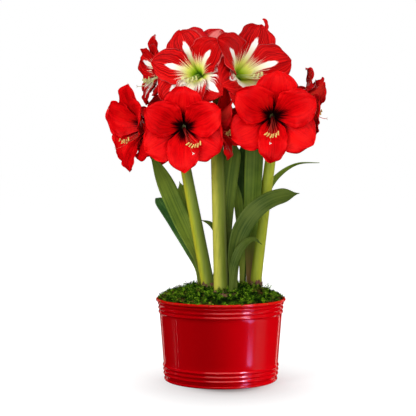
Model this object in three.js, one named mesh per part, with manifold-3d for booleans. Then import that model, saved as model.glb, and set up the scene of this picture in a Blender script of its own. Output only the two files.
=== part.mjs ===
// Amaryllis in a pot: three forced Hippeastrum bulbs in a red metal tub, in full bloom.
// Millimetres, +Z up, front towards -Y. The origin is the centre of the pot's underside.

import * as THREE from 'three';
import { mergeVertices } from 'three/addons/utils/BufferGeometryUtils.js';
import Module from 'manifold-3d';

const wasm = await Module();
wasm.setup();

// ---------------------------------------------------------------- driving dimensions

const SEAT = 0.3; // clearance between pieces that touch

const POT_HEIGHT = 164;
const POT_BASE_RADIUS = 112;
const POT_TOP_RADIUS = 125;
const POT_WALL = 1.2;
const POT_SEGMENTS = 32;
const FOOT_BEAD = 1.6;
const RIM_BEAD_RADIUS = 3.2;
const RIM_BEAD_SIDES = 6;
const RIB_DEPTH = 1.6;
const RIB_PITCH = 8.3;
const RIBS_PER_BAND = 3;
const LOWER_BAND = 9; // height of the foot of the lowest rib
const UPPER_BAND = 132.5;

const MIX_TOP = 150;
const MOSS_EDGE_TOP = 161;
const MOSS_RISE = 26;
const MOSS_BUMP = 2.4;
const MOSS_RINGS = 7;

const BULB_RADIUS = 37;
const BULB_NECK_RADIUS = 25;
const BULB_HEIGHT = 110;
const BULB_SEGMENTS = 12;

const SCAPE_FLATNESS = 0.88;
const SCAPE_SIDES = 10;
const SCAPE_STEPS = 7;
const PEDICEL_RADIUS = 4.4;
const PEDICEL_SINK = 5; // how deep the flower stalks start inside the scape's top
const OVARY_RADIUS = 6.8;
const STALK_SIDES = 6;
const STALK_STEPS = 5;

const TEPAL_LENGTH = 110;
const OUTER_TEPAL_WIDTH = 82;
const INNER_TEPAL_WIDTH = 72;
const LOWEST_TEPAL_WIDTH = 62;
const TEPAL_ROUNDNESS = 0.68; // smaller is blunter
const TEPAL_THICKNESS = 1;
const TEPAL_TIP_HALF_WIDTH = 6;
const WIDEST_WRAP = 53; // degrees from the midrib, short of the next tepal of the same layer
const TEPAL_COLUMNS = 3;
const TEPAL_ROWS = 4;
const OUTER_TEPAL_OFFSET = 4;
const TEPAL_ROOT_ANGLE = 16;
const OUTER_TIP_ANGLE = 104;
const INNER_TIP_ANGLE = 90;
const TEPAL_WAVE = 3;
const TUBE_LENGTH = 24;
const TUBE_FOOT_RADIUS = 5.4;
const TEPAL_ROOT_HEIGHT = 8;
const OUTER_ROOT_RADIUS = 5.5;
const INNER_ROOT_RADIUS = 4;
const TUBE_MOUTH_RADIUS = 15;
const TUBE_SIDES = 6;
const THROAT_DEPTH = 26; // from the foot of the floral tube to the centre of the throat

const FILAMENT_RADIUS = 0.9;
const FILAMENT_REACH = 58;
const STYLE_REACH = 72;
const ANTHER_RADIUS = 1.9;
const STIGMA_RADIUS = 2.2;
const STAMEN_BASE_RADIUS = 4;

const LEAF_THICKNESS = 1.5;
const LEAF_COLUMNS = 2;
const LEAF_ROWS = 8;
const ROOT_DEPTH = 6; // how far a stem or leaf is drawn below its seat before it is trimmed

// One bulb under each scape: centre of the neck, and the height of its flat top.
const BULBS = {
  left: { x: -33, y: 0, top: 184 },
  middle: { x: 9, y: -60, top: 181 },
  right: { x: 60, y: 43, top: 183 },
};

// One scape on each bulb, from its foot to the umbel that its blooms spring from, its radius at
// both and how nearly it starts out along its own lean (1 is straight).
const SCAPES = {
  left: { foot: [-24.5, -6], umbel: [-81, -25, 482], radii: [13.4, 9.8], bow: 1 },
  middle: { foot: [0, -62], umbel: [-10, -5, 548], radii: [14, 12.2], bow: 0.85 },
  right: { foot: [70, 45], umbel: [106, -12, 500], radii: [13, 10], bow: 0.85 },
};

// Each bloom: where its throat is, the way it faces (degrees from -Y towards +X, and up), its
// roll and size, how many degrees each tepal is bent from the usual flare and, where they aren't
// evenly spaced, shifted round the throat (from the top one towards the facing right), the width
// of its lowest tepal, where that isn't the usual one, and where its stamens lean.
const BLOOMS = [
  { name: 'bloom_left_front', scape: 'left', throat: [-72, -92, 500], azimuth: 0, elevation: -8,
    roll: 0, size: 1.02, bend: [-6, 0, 0, 0, 0, 0], lean: [20, -30] },
  { name: 'bloom_left_side', scape: 'left', throat: [-144, -38, 503], azimuth: -60, elevation: -5,
    roll: 0, size: 1.06, bend: [0, 0, 0, 0, 0, 0], lean: [0, -26] },
  { name: 'bloom_left_back', scape: 'left', throat: [-104, 40, 500], azimuth: -152, elevation: 0,
    roll: 0, size: 0.9, bend: [0, 0, 0, 0, 0, 0], lean: [0, -26] },
  { name: 'bloom_left_inner', scape: 'left', throat: [-26, -56, 512], azimuth: 70, elevation: 0,
    roll: 0, size: 0.94, bend: [0, -60, -50, 0, -30, -40], lean: [-6, -24] },
  { name: 'bloom_right_front', scape: 'right', throat: [99, -76, 522], azimuth: 1, elevation: -6,
    roll: 4, size: 1.1, bend: [0, 0, 0, 0, 0, 0], lowestWidth: 50, lean: [-5, -34] },
  { name: 'bloom_right_side', scape: 'right', throat: [154, -7, 555], azimuth: 96, elevation: 0,
    roll: 0, size: 0.84, bend: [26, 0, 0, 10, 0, 0], lean: [0, -24] },
  { name: 'bloom_right_back', scape: 'right', throat: [120, 50, 536], azimuth: 164, elevation: 10,
    roll: 0, size: 0.9, bend: [0, 0, 0, 0, 0, 0], lean: [0, -26] },
  { name: 'bloom_middle_front', scape: 'middle', throat: [-46, -55, 605], azimuth: -16, elevation: 10,
    roll: -20, size: 1, bend: [0, -10, -4, 0, 0, 0], shift: [0, 8, 30, 20, 6, 0], lean: [0, -26] },
  { name: 'bloom_middle_right', scape: 'middle', throat: [34, -42, 605], azimuth: 34, elevation: 18,
    roll: 22, size: 1.18, bend: [-22, -6, 0, 16, -12, -8], shift: [0, 0, 0, 10, -20, -22],
    lean: [0, -26] },
  { name: 'bloom_middle_left', scape: 'middle', throat: [-108, 38, 617], azimuth: -72, elevation: 4,
    roll: 0, size: 0.88, bend: [0, 0, 0, 0, 0, 0], lean: [0, -24] },
  { name: 'bloom_middle_back', scape: 'middle', throat: [-38, 75, 636], azimuth: 180, elevation: 12,
    roll: 30, size: 0.98, bend: [0, 0, 0, 0, 0, 0], lean: [0, -26] },
];

// Each leaf: its bulb, its full width, the share of that width at its foot, the shares of its
// length where the full width is reached and where the tip starts to narrow, the way its channel
// faces at its foot and at its tip, and the points of its midrib.
const LEAVES = [
  { name: 'leaf_left_long', bulb: 'left', width: 38, shares: [0.36, 0.5, 0.6],
    faces: [[0.3, -1, 0], [0.4, -1, 0.2]],
    spine: [[-32, 9, 184], [-41, 10, 230], [-60, 10, 276], [-84, 11, 328], [-105, 10, 376],
      [-125, 8, 421], [-146, 2, 466]] },
  { name: 'leaf_left_folded', bulb: 'left', width: 34, shares: [0.36, 0.6, 0.66],
    faces: [[0.4, -1, 0], [-0.1, -0.5, 1]],
    spine: [[-41, 16, 184], [-45, 20, 219], [-59, 23, 252], [-82, 26, 297], [-104, 29, 331],
      [-122, 37, 353], [-128, 50, 362], [-130, 64, 352]] },
  { name: 'leaf_left_back', bulb: 'left', width: 28, shares: [0.45, 0.5, 0.86],
    faces: [[0.2, -1, 0], [0.4, -1, 0.3]],
    spine: [[-30, 20, 184], [-36, 36, 240], [-60, 42, 320], [-84, 44, 396]] },
  { name: 'leaf_left_inner', bulb: 'left', width: 11, shares: [0.5, 0.5, 0.75],
    faces: [[0, -1, 0], [0.2, -1, 0.2]],
    spine: [[-17, 11, 184], [-7, 15, 240], [-8, 17, 290], [-20, 18, 310], [-42, 20, 319]] },
  { name: 'leaf_middle_upright', bulb: 'middle', width: 38, shares: [0.45, 0.8, 0.88],
    faces: [[0, -1, 0], [0.2, -1, 0.1]],
    spine: [[17, -44, 181], [11, -33, 240], [8, -21, 311], [13, -9, 387], [22, -4, 451],
      [28, -2, 480]] },
  { name: 'leaf_middle_arching', bulb: 'middle', width: 36, shares: [0.4, 0.5, 0.84],
    faces: [[0.3, -1, 0.2], [0.1, -1, 0.8]],
    spine: [[24, -64, 181], [25, -66, 250], [39, -72, 302], [66, -78, 341], [99, -84, 363],
      [150, -90, 375]] },
  { name: 'leaf_middle_curled', bulb: 'middle', width: 18, shares: [0.4, 0.6, 0.7],
    faces: [[0, -1, 0], [0, -0.6, 1]],
    spine: [[18, -78, 181], [24, -84, 236], [42, -90, 274], [62, -94, 286], [78, -96, 277]] },
  { name: 'leaf_right_broad', bulb: 'right', width: 37, shares: [0.36, 0.5, 0.85],
    faces: [[-0.9, -0.6, 0], [0, -1, 0]],
    spine: [[57, 23, 183], [61, 13, 286], [64, 4, 358], [66, 0, 419], [68, -4, 500]] },
  { name: 'leaf_right_dark', bulb: 'right', width: 24, shares: [0.4, 0.5, 0.85],
    faces: [[0, -1, 0], [0, -1, 0]],
    spine: [[48, 58, 183], [46, 64, 300], [45, 66, 380], [46, 64, 480]] },
  { name: 'leaf_right_short', bulb: 'right', width: 20, shares: [0.5, 0.5, 0.7],
    faces: [[0.4, -1, 0], [0.3, -1, 0.1]],
    spine: [[43, 40, 183], [43, 36, 280], [36, 32, 350], [30, 30, 405]] },
  { name: 'leaf_right_arching', bulb: 'right', width: 19, shares: [0.55, 0.5, 0.5],
    faces: [[-0.2, 1, 0.2], [0, 0.4, 1]],
    spine: [[72, 63, 183], [76, 70, 290], [96, 76, 372], [122, 78, 408], [158, 78, 431],
      [205, 78, 434]] },
];

const COLORS = {
  pot: 0xc0000f,
  mix: 0x3a2a1c,
  moss: 0x3f6a14,
  bulb: 0x8a5a3c,
  scape: 0x8f9a3c,
  leaf: 0x4a6a2a,
  red: 0xd90a14,
  striped: 0xd8505a,
  stamen: 0xe6c85a,
};

// ---------------------------------------------------------------- small helpers

const radians = THREE.MathUtils.degToRad;
const { lerp, smoothstep } = THREE.MathUtils;

function toSolid(geometry) {
  geometry.deleteAttribute('normal');
  geometry.deleteAttribute('uv');
  const merged = mergeVertices(geometry, 1e-4);
  const vertProperties = Float32Array.from(merged.attributes.position.array);
  const triVerts = Uint32Array.from(merged.index.array);
  return new wasm.Manifold(new wasm.Mesh({ numProp: 3, vertProperties, triVerts }));
}

function toGeometry(solid) {
  const { vertProperties, triVerts } = solid.getMesh();
  const geometry = new THREE.BufferGeometry();
  geometry.setAttribute('position', new THREE.BufferAttribute(vertProperties, 3));
  geometry.setIndex(new THREE.BufferAttribute(triVerts, 1));
  geometry.computeVertexNormals();
  return geometry;
}

function joined(solids) {
  return solids.reduce((whole, solid) => whole.add(solid));
}

function fromFaces(points, faces) {
  const geometry = new THREE.BufferGeometry();
  geometry.setFromPoints(points);
  geometry.setIndex(faces.flat());
  return geometry;
}

function lathe(profile, segments) {
  const geometry = new THREE.LatheGeometry(profile.map(([r, z]) => new THREE.Vector2(r, z)), segments);
  return geometry.rotateX(Math.PI / 2);
}

function mesh(name, geometry, color, roughness, metalness = 0) {
  const material = new THREE.MeshStandardMaterial({ color, roughness, metalness });
  const piece = new THREE.Mesh(geometry, material);
  piece.name = name;
  return piece;
}

// A closed tube of rings along a curve; radiusAt(t) is its radius and flatness squeezes it.
function stalk(curve, steps, sides, radiusAt, flatness = 1) {
  const frames = curve.computeFrenetFrames(steps, false);
  const points = [];
  for (let step = 0; step <= steps; step += 1) {
    const centre = curve.getPointAt(step / steps);
    const radius = radiusAt(step / steps);
    for (let side = 0; side < sides; side += 1) {
      const turn = (2 * Math.PI * side) / sides;
      points.push(centre.clone()
        .addScaledVector(frames.normals[step], radius * Math.cos(turn))
        .addScaledVector(frames.binormals[step], flatness * radius * Math.sin(turn)));
    }
  }
  const faces = [];
  for (let side = 0; side < sides; side += 1) {
    const next = (side + 1) % sides;
    for (let step = 0; step < steps; step += 1) {
      const low = step * sides;
      const high = low + sides;
      faces.push([low + side, low + next, high + next], [low + side, high + next, high + side]);
    }
  }
  const last = steps * sides;
  for (let side = 1; side < sides - 1; side += 1) {
    faces.push([0, side + 1, side], [last, last + side, last + side + 1]);
  }
  return fromFaces(points, faces);
}

// A closed blade of even thickness about the surface pointAt(along, across), with across from
// -1 to 1. Both faces are split along the same diagonals.
function blade(pointAt, rows, columns, thickness) {
  const step = 1e-3;
  const upper = [];
  const lower = [];
  for (let row = 0; row <= rows; row += 1) {
    for (let column = 0; column <= columns; column += 1) {
      const along = row / rows;
      const across = (2 * column) / columns - 1;
      const middle = pointAt(along, across);
      const before = pointAt(Math.max(along - step, 0), across);
      const after = pointAt(Math.min(along + step, 1), across);
      const tangent = after.sub(before);
      const side = pointAt(along, across + step).sub(pointAt(along, across - step));
      const normal = tangent.cross(side).normalize().multiplyScalar(thickness / 2);
      upper.push(middle.clone().add(normal));
      lower.push(middle.clone().sub(normal));
    }
  }
  const width = columns + 1;
  const under = upper.length;
  const faces = [];
  for (let row = 0; row < rows; row += 1) {
    for (let column = 0; column < columns; column += 1) {
      const a = row * width + column;
      const [b, c, d] = [a + 1, a + width + 1, a + width];
      faces.push([a, c, b], [a, d, c], [under + a, under + b, under + c], [under + a, under + c, under + d]);
    }
  }
  const wall = (a, b) => faces.push([a, b, under + b], [a, under + b, under + a]);
  for (let column = 0; column < columns; column += 1) {
    wall(column, column + 1);
    wall(rows * width + column + 1, rows * width + column);
  }
  for (let row = 0; row < rows; row += 1) {
    wall((row + 1) * width, row * width);
    wall(row * width + columns, (row + 1) * width + columns);
  }
  return fromFaces([...upper, ...lower], faces);
}

// ---------------------------------------------------------------- pot, mix, moss and bulbs

function wallRadius(height) {
  return lerp(POT_BASE_RADIUS, POT_TOP_RADIUS, height / POT_HEIGHT);
}

function innerRadius(height) {
  return wallRadius(height) - POT_WALL;
}

function potGeometry() {
  const profile = [[0, 0], [POT_BASE_RADIUS - 2, 0]];
  profile.push([POT_BASE_RADIUS + FOOT_BEAD, 1.5], [POT_BASE_RADIUS + FOOT_BEAD, 4], [wallRadius(6), 6]);
  for (const band of [LOWER_BAND, UPPER_BAND]) {
    profile.push([wallRadius(band), band]);
    for (let rib = 0; rib < RIBS_PER_BAND; rib += 1) {
      const crest = band + (rib + 0.5) * RIB_PITCH;
      const valley = band + (rib + 1) * RIB_PITCH;
      profile.push([wallRadius(crest) + RIB_DEPTH, crest], [wallRadius(valley), valley]);
    }
  }
  const beadHeight = POT_HEIGHT - RIM_BEAD_RADIUS;
  const beadRadius = POT_TOP_RADIUS + RIM_BEAD_RADIUS * 0.55;
  for (let side = 0; side <= RIM_BEAD_SIDES; side += 1) {
    const turn = lerp(-0.7 * Math.PI, 0.85 * Math.PI, side / RIM_BEAD_SIDES);
    profile.push([
      beadRadius + RIM_BEAD_RADIUS * Math.cos(turn),
      beadHeight + RIM_BEAD_RADIUS * Math.sin(turn),
    ]);
  }
  const lip = beadHeight - 1;
  profile.push([innerRadius(lip), lip], [innerRadius(POT_WALL), POT_WALL], [0, POT_WALL]);
  return lathe(profile, POT_SEGMENTS);
}

function bulbSolid(bulb, grow) {
  const bottom = bulb.top - BULB_HEIGHT;
  const widest = BULB_RADIUS + grow;
  const neck = BULB_NECK_RADIUS + grow;
  const profile = [
    [0, bottom - grow],
    [widest * 0.42, bottom - grow],
    [widest * 0.78, bottom + 9],
    [widest, bottom + 30],
    [widest * 0.97, bottom + 44],
    [widest * 0.85, bottom + 58],
    [neck, bottom + 72],
    [neck, bulb.top + grow],
    [0, bulb.top + grow],
  ];
  return toSolid(lathe(profile, BULB_SEGMENTS).translate(bulb.x, bulb.y, 0));
}

function holesForBulbs() {
  const tallest = SEAT + 20; // carries each hole up through the moss
  return Object.values(BULBS).map((bulb) => {
    const hole = bulbSolid(bulb, SEAT);
    const collar = new THREE.CylinderGeometry(
      BULB_NECK_RADIUS + SEAT, BULB_NECK_RADIUS + SEAT, tallest, BULB_SEGMENTS,
    ).rotateX(Math.PI / 2).rotateZ(Math.PI / 2);
    return hole.add(toSolid(collar.translate(bulb.x, bulb.y, bulb.top + tallest / 2)));
  });
}

function mixGeometry(holes) {
  const floor = POT_WALL + SEAT;
  const profile = [
    [0, floor],
    [innerRadius(floor) - SEAT, floor],
    [innerRadius(MIX_TOP) - SEAT, MIX_TOP],
    [0, MIX_TOP],
  ];
  return toGeometry(holes.reduce((mix, hole) => mix.subtract(hole), toSolid(lathe(profile, POT_SEGMENTS))));
}

// Height of the moss: a low mound with cushions raised on it, which die out at the wall.
function mossHeight(x, y) {
  const edge = innerRadius(MIX_TOP);
  const inward = Math.max(0, 1 - (x * x + y * y) / (edge * edge));
  const broad = Math.sin(0.17 * x + 1) * Math.sin(0.15 * y + 0.4);
  const cushions = broad + 0.6 * Math.sin(0.29 * x - 0.23 * y + 2);
  return MOSS_EDGE_TOP + MOSS_RISE * inward ** 0.8 + MOSS_BUMP * cushions * Math.min(1, 4 * inward);
}

function mossGeometry(holes) {
  const floor = MIX_TOP + SEAT;
  const edge = innerRadius(MIX_TOP) - SEAT;
  const points = [new THREE.Vector3(0, 0, mossHeight(0, 0))];
  const ring = (radius, heightAt) => {
    for (let segment = 0; segment < POT_SEGMENTS; segment += 1) {
      const turn = (2 * Math.PI * segment) / POT_SEGMENTS;
      const x = radius * Math.cos(turn);
      const y = radius * Math.sin(turn);
      points.push(new THREE.Vector3(x, y, heightAt(x, y)));
    }
  };
  for (let index = 1; index <= MOSS_RINGS; index += 1) {
    ring((edge * index) / MOSS_RINGS, mossHeight);
  }
  ring(edge, () => floor);
  points.push(new THREE.Vector3(0, 0, floor));
  const bottom = points.length - 1;
  const faces = [];
  for (let segment = 0; segment < POT_SEGMENTS; segment += 1) {
    const next = (segment + 1) % POT_SEGMENTS;
    faces.push([0, 1 + segment, 1 + next]);
    for (let index = 0; index < MOSS_RINGS; index += 1) {
      const inner = 1 + index * POT_SEGMENTS;
      const outer = inner + POT_SEGMENTS;
      faces.push([inner + segment, outer + segment, outer + next]);
      faces.push([inner + segment, outer + next, inner + next]);
    }
    const rim = bottom - POT_SEGMENTS;
    faces.push([bottom, rim + next, rim + segment]);
  }
  return toGeometry(holes.reduce((moss, hole) => moss.subtract(hole), toSolid(fromFaces(points, faces))));
}

// ---------------------------------------------------------------- scapes and leaves

// Removes what lies below the flat top of a bulb, so that the piece stands on it.
function trimmedAt(solid, bulb) {
  const side = 200;
  const seat = bulb.top + SEAT;
  const box = new THREE.BoxGeometry(side, side, side).translate(bulb.x, bulb.y, seat - side / 2);
  return solid.subtract(toSolid(box));
}

function facing(bloom) {
  const azimuth = radians(bloom.azimuth);
  const elevation = radians(bloom.elevation);
  return new THREE.Vector3(
    Math.sin(azimuth) * Math.cos(elevation),
    -Math.cos(azimuth) * Math.cos(elevation),
    Math.sin(elevation),
  );
}

function tubeFoot(bloom) {
  return new THREE.Vector3(...bloom.throat).addScaledVector(facing(bloom), -THROAT_DEPTH * bloom.size);
}

// A flower stalk from the umbel, which swells into the ovary under the floral tube.
function pedicelSolid(umbel, bloom) {
  const axis = facing(bloom);
  const end = tubeFoot(bloom).addScaledVector(axis, -SEAT);
  const reach = end.distanceTo(umbel);
  const rise = new THREE.Vector3(0, 0, 0.3 * reach);
  const curve = new THREE.CubicBezierCurve3(
    umbel, umbel.clone().add(rise), end.clone().addScaledVector(axis, -0.5 * reach), end,
  );
  const ovary = (t) => Math.sin(Math.PI * smoothstep(t, 0.66, 1) * 0.78);
  const radiusAt = (t) => lerp(PEDICEL_RADIUS, OVARY_RADIUS, ovary(t));
  return toSolid(stalk(curve, STALK_STEPS, STALK_SIDES, radiusAt));
}

function scapeGeometry(name) {
  const { foot, umbel, radii, bow } = SCAPES[name];
  const bulb = BULBS[name];
  const top = new THREE.Vector3(...umbel);
  const bottom = new THREE.Vector3(foot[0], foot[1], bulb.top - ROOT_DEPTH);
  const lean = (top.clone().sub(bottom)).divideScalar(3);
  const curve = new THREE.CubicBezierCurve3(
    bottom,
    bottom.clone().add(new THREE.Vector3(bow * lean.x, bow * lean.y, lean.z)),
    top.clone().sub(lean),
    top,
  );
  const taper = (t) => lerp(radii[0], radii[1], t);
  const stem = toSolid(stalk(curve, SCAPE_STEPS, SCAPE_SIDES, taper, SCAPE_FLATNESS));
  const umbelCore = top.clone().add(new THREE.Vector3(0, 0, -PEDICEL_SINK));
  const blooms = BLOOMS.filter((bloom) => bloom.scape === name);
  const pedicels = blooms.map((bloom) => pedicelSolid(umbelCore, bloom));
  return toGeometry(joined([trimmedAt(stem, bulb), ...pedicels]));
}

// Half the width of a leaf, as a share of its full width: narrow at the foot, blunt at the tip.
function leafHalfShare(along, [foot, full, narrowing]) {
  const spread = lerp(foot, 1, smoothstep(along, 0, full));
  return 0.5 * spread * (1 - 0.9 * smoothstep(along, narrowing, 1) ** 2);
}

function leafGeometry(leaf) {
  const spine = leaf.spine.map((point) => new THREE.Vector3(...point));
  spine[0].z -= ROOT_DEPTH;
  const curve = new THREE.CatmullRomCurve3(spine, false, 'centripetal');
  const [footFace, tipFace] = leaf.faces.map((face) => new THREE.Vector3(...face).normalize());
  const pointAt = (along, across) => {
    const centre = curve.getPointAt(along);
    const tangent = curve.getTangentAt(along);
    const face = footFace.clone().lerp(tipFace, along);
    const side = face.clone().cross(tangent).normalize();
    const normal = tangent.clone().cross(side).normalize();
    const half = leaf.width * leafHalfShare(along, leaf.shares);
    const channel = 0.28 * half * across * across * (1 - 0.5 * along);
    return centre.addScaledVector(side, half * across).addScaledVector(normal, channel);
  };
  const strap = toSolid(blade(pointAt, LEAF_ROWS, LEAF_COLUMNS, LEAF_THICKNESS));
  return toGeometry(trimmedAt(strap, BULBS[leaf.bulb]));
}

// ---------------------------------------------------------------- blooms and stamens
// Both are made about their own axis: +Z is the way the bloom faces, +Y is up.

// The midrib of a tepal, integrated from its angle to the bloom's axis.
function tepalSpine(length, rootRadius, tipAngle) {
  const steps = 24;
  const stations = [{ radius: rootRadius, height: TEPAL_ROOT_HEIGHT, angle: radians(TEPAL_ROOT_ANGLE) }];
  for (let step = 1; step <= steps; step += 1) {
    const share = (step - 0.5) / steps;
    const middle = radians(lerp(TEPAL_ROOT_ANGLE, tipAngle, share ** 1.3));
    const { radius, height } = stations[step - 1];
    stations.push({
      radius: radius + (length / steps) * Math.sin(middle),
      height: height + (length / steps) * Math.cos(middle),
      angle: radians(lerp(TEPAL_ROOT_ANGLE, tipAngle, (step / steps) ** 1.3)),
    });
  }
  return (along) => {
    const place = THREE.MathUtils.clamp(along, 0, 1) * steps;
    const index = Math.min(Math.floor(place), steps - 1);
    const mix = place - index;
    const [low, high] = [stations[index], stations[index + 1]];
    return {
      radius: lerp(low.radius, high.radius, mix),
      height: lerp(low.height, high.height, mix),
      angle: lerp(low.angle, high.angle, mix),
    };
  };
}

function tepalHalfWidth(width, along) {
  const belly = Math.sin(Math.PI * along ** 1.5) ** TEPAL_ROUNDNESS;
  return 0.5 * width * (0.1 * (1 - along) + belly) + TEPAL_TIP_HALF_WIDTH * along ** 3;
}

// One tepal at a turn about the axis. Outer tepals lie behind the inner ones. It is wrapped
// round the funnel near its root and lies flatter, with waved edges, near its tip.
function tepalSolid(turn, isOuter, width, size, bend) {
  const tipAngle = (isOuter ? OUTER_TIP_ANGLE : INNER_TIP_ANGLE) + bend;
  const spineAt = tepalSpine(TEPAL_LENGTH * size, isOuter ? OUTER_ROOT_RADIUS : INNER_ROOT_RADIUS, tipAngle);
  const pointAt = (row, across) => {
    const along = 1 - (1 - row) ** 1.3;
    const { radius, height, angle } = spineAt(along);
    const half = Math.min(tepalHalfWidth(width * size, along), radians(WIDEST_WRAP) * radius);
    const wrap = (across * half) / radius;
    const flat = 0.75 * smoothstep(along, 0.7, 1);
    const outward = lerp(radius * Math.cos(wrap), radius, flat);
    const sideways = lerp(radius * Math.sin(wrap), across * half, flat);
    const offset = isOuter ? OUTER_TEPAL_OFFSET * smoothstep(along, 0, 0.3) : 0;
    const ripple = Math.sin(9 * along + 3 * across + turn);
    const wave = TEPAL_WAVE * across * across * smoothstep(along, 0.6, 0.9) * ripple;
    const radial = outward + (offset + wave) * Math.cos(angle);
    const point = new THREE.Vector3(sideways, radial, height - (offset + wave) * Math.sin(angle));
    return point.applyAxisAngle(new THREE.Vector3(0, 0, 1), -turn);
  };
  return toSolid(blade(pointAt, TEPAL_ROWS, TEPAL_COLUMNS, TEPAL_THICKNESS));
}

function bloomGeometry(bloom) {
  const length = TUBE_LENGTH * bloom.size;
  const mouth = TUBE_MOUTH_RADIUS * bloom.size;
  const tube = lathe([
    [0, 0],
    [TUBE_FOOT_RADIUS, 0],
    [lerp(TUBE_FOOT_RADIUS, mouth, 0.35), 0.4 * length],
    [mouth, length],
    [0, length - 3],
  ], TUBE_SIDES).rotateZ(-radians(bloom.roll));
  const solids = [toSolid(tube)];
  for (let index = 0; index < 6; index += 1) {
    const isOuter = index % 2 === 0;
    const innerWidth = index === 3 ? bloom.lowestWidth ?? LOWEST_TEPAL_WIDTH : INNER_TEPAL_WIDTH;
    const width = isOuter ? OUTER_TEPAL_WIDTH : innerWidth;
    const shift = bloom.shift ? bloom.shift[index] : 0;
    const turn = radians(60 * index + bloom.roll + shift);
    solids.push(tepalSolid(turn, isOuter, width, bloom.size, bloom.bend[index]));
  }
  return toGeometry(joined(solids));
}

// Six filaments, thickened at the end into their anthers, and one style with its stigma,
// sprung from a small cushion in the throat.
function stamenGeometry(bloom) {
  const foot = TUBE_LENGTH * bloom.size - 3 + SEAT;
  const cushion = lathe([[0, foot], [STAMEN_BASE_RADIUS, foot + 1.2], [0, foot + 3]], 6);
  const solids = [toSolid(cushion)];
  const [leanX, leanY] = bloom.lean;
  const thread = (start, end, tipRadius) => {
    const reach = end.z - start.z;
    const curve = new THREE.CubicBezierCurve3(
      start,
      new THREE.Vector3(2 * start.x, 2 * start.y, start.z + 0.3 * reach),
      new THREE.Vector3(0.8 * end.x, end.y - 3, start.z + 0.75 * reach),
      end,
    );
    solids.push(toSolid(stalk(curve, 3, 3, (t) => (t < 1 ? FILAMENT_RADIUS : tipRadius))));
  };
  for (let index = 0; index < 6; index += 1) {
    const turn = radians(60 * index + 30);
    const fan = (index - 2.5) / 2.5;
    const reach = bloom.size * (FILAMENT_REACH - 7 * (index % 2));
    const start = new THREE.Vector3(2 * Math.cos(turn), 2 * Math.sin(turn), foot + 1.2);
    thread(start, new THREE.Vector3(leanX + 12 * fan, leanY + 5 * fan * fan, foot + reach), ANTHER_RADIUS);
  }
  const tip = new THREE.Vector3(1.15 * leanX - 4, 1.15 * leanY - 6, foot + bloom.size * STYLE_REACH);
  thread(new THREE.Vector3(0, 0, foot + 1.2), tip, STIGMA_RADIUS);
  return toGeometry(joined(solids));
}

function bloomGroup(bloom) {
  const axis = facing(bloom);
  const right = new THREE.Vector3(Math.cos(radians(bloom.azimuth)), Math.sin(radians(bloom.azimuth)), 0);
  const up = axis.clone().cross(right);
  const place = new THREE.Group();
  place.position.copy(tubeFoot(bloom));
  place.quaternion.setFromRotationMatrix(new THREE.Matrix4().makeBasis(right, up, axis));
  const color = bloom.scape === 'middle' ? COLORS.striped : COLORS.red;
  place.add(mesh(bloom.name, bloomGeometry(bloom), color, 0.5));
  place.add(mesh(bloom.name.replace('bloom', 'stamens'), stamenGeometry(bloom), COLORS.stamen, 0.6));
  return place;
}

// ---------------------------------------------------------------- the whole plant

const group = new THREE.Group();
const holes = holesForBulbs();

group.add(mesh('pot', potGeometry(), COLORS.pot, 0.2, 0.3));
group.add(mesh('potting_mix', mixGeometry(holes), COLORS.mix, 1));
group.add(mesh('moss', mossGeometry(holes), COLORS.moss, 1));
for (const [name, bulb] of Object.entries(BULBS)) {
  group.add(mesh(`bulb_${name}`, toGeometry(bulbSolid(bulb, 0)), COLORS.bulb, 0.7));
  group.add(mesh(`scape_${name}`, scapeGeometry(name), COLORS.scape, 0.5));
}
for (const leaf of LEAVES) {
  group.add(mesh(leaf.name, leafGeometry(leaf), COLORS.leaf, 0.5));
}
for (const bloom of BLOOMS) {
  group.add(bloomGroup(bloom));
}

export default group;
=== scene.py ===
"""Looks of the amaryllis in a pot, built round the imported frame.

The plant's dimensions are in millimetres and degrees. Meshes, lights and the camera are in metres.
"""

import random
from collections import namedtuple
from math import cos, dist, pi, radians, sin, sqrt, tau

import bpy
import numpy as np
from mathutils import Matrix, Vector


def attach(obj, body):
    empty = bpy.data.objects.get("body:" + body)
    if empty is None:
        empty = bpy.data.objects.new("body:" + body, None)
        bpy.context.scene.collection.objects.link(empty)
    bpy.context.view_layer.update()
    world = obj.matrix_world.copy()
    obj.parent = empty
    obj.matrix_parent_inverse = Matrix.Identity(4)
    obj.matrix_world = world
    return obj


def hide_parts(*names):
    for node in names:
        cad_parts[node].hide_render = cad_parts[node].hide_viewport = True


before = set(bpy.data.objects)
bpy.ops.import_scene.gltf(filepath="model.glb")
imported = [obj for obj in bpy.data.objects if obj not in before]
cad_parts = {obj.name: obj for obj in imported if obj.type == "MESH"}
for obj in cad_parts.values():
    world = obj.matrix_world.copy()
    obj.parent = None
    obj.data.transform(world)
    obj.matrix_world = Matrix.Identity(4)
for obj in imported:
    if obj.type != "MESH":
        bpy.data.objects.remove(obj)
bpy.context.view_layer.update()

# ---- dimensions

MM = 0.001
SEAT = 0.3  # gap between a piece and what it stands on
POLE = 0.01  # radius at which a round form closes on its axis

POT_HEIGHT = 164
POT_BASE_RADIUS = 112
POT_TOP_RADIUS = 125
POT_WALL = 1.2
POT_COLUMNS = 176
FOOT_BEAD_RADIUS = 2.4
RIM_BEAD_RADIUS = 3.2
RIB_DEPTH = 2.1
RIB_PITCH = 8.3
RIBS_PER_BAND = 3
LOWER_BAND = 9
UPPER_BAND = 132.5
SEAM_TURN = -47  # degrees from the front, where the sheet laps over itself
SEAM_WIDTH = 3.4
SEAM_HEIGHT = 0.3

MIX_TOP = 150
MOSS_EDGE_TOP = 161
MOSS_RISE = 26
MOSS_BUMP = 2.4
TUFT_COUNT = 1100
RIM_TUFT_COUNT = 70
SPRIGS_PER_TUFT = 8
SPRIG_LENGTH = 8.8
SPRIG_STEPS = 4
SPRIG_HALF_WIDTH = 0.6
LEAFLET_LENGTH = 3.2

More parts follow.
